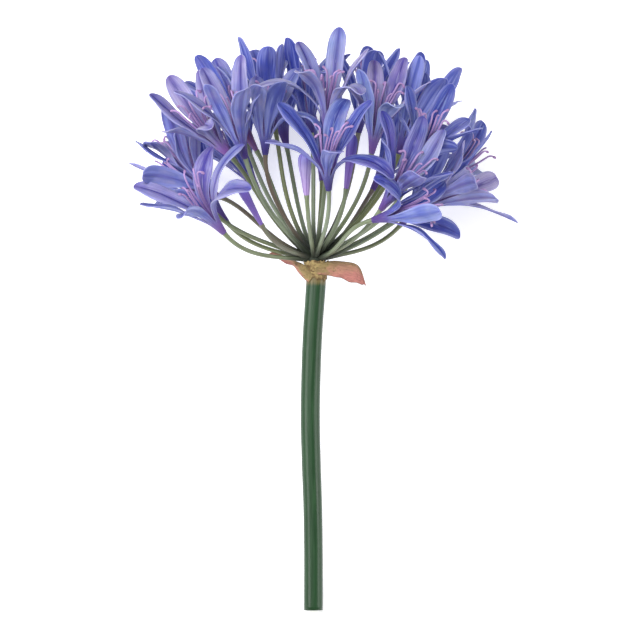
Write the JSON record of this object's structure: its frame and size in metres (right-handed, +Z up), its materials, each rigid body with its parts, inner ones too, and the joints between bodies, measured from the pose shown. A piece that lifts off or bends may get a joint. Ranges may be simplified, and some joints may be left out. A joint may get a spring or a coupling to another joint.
{
  "type": "agapanthus flower head",
  "caption": "Domed umbel of funnel-shaped violet-blue florets with rolled-back petals and long pale stamens on slender stalks, above a cut green stem, lying on its side.",
  "frame": {"origin": "middle of the object's box, on the surface that the cut flower lies on", "axes": "+X to the right as in the picture, +Y along the stem towards the head, which the stem meets 17 degrees above the surface, +Z up off the surface, towards the side that the picture shows"},
  "size_m": [0.2136, 0.3142, 0.1811],
  "materials": {
    "petal": "matte",
    "filament": "satin",
    "bud": "satin",
    "stalk": "satin",
    "stem": "satin",
    "bract": "matte"
  },
  "bodies": {
    "root": {"bract_left": "bract", "bract_right": "bract", "bud_back": "bud", "bud_front": "bud", "bud_left": "bud", "bud_middle": "bud", "pedicels": "stalk", "perianth_centre_front": "petal", "perianth_left_back": "petal", "perianth_left_far": "petal", "perianth_left_front": "petal", "perianth_left_low": "petal", "perianth_left_top_back": "petal", "perianth_left_upper": "petal", "perianth_right_back": "petal", "perianth_right_far": "petal", "perianth_right_front": "petal", "perianth_right_low": "petal", "perianth_right_top": "petal", "perianth_right_top_back": "petal", "perianth_right_upper": "petal", "perianth_top": "petal", "perianth_top_back": "petal", "perianth_top_left": "petal", "perianth_top_left_back": "petal", "perianth_top_right": "petal", "perianth_top_right_back": "petal", "perianth_under_left": "petal", "perianth_under_mid": "petal", "perianth_under_mid_left": "petal", "perianth_under_mid_right": "petal", "perianth_under_right": "petal", "perianth_under_top": "petal", "scape": "stem", "stamens_centre_front": "filament", "stamens_left_back": "filament", "stamens_left_far": "filament", "stamens_left_front": "filament", "stamens_left_low": "filament", "stamens_left_top_back": "filament", "stamens_left_upper": "filament", "stamens_right_back": "filament", "stamens_right_far": "filament", "stamens_right_front": "filament", "stamens_right_low": "filament", "stamens_right_top": "filament", "stamens_right_top_back": "filament", "stamens_right_upper": "filament", "stamens_top": "filament", "stamens_top_back": "filament", "stamens_top_left": "filament", "stamens_top_left_back": "filament", "stamens_top_right": "filament", "stamens_top_right_back": "filament", "stamens_under_left": "filament", "stamens_under_mid": "filament", "stamens_under_mid_left": "filament", "stamens_under_mid_right": "filament", "stamens_under_right": "filament", "stamens_under_top": "filament"}
  },
  "joints": []
}
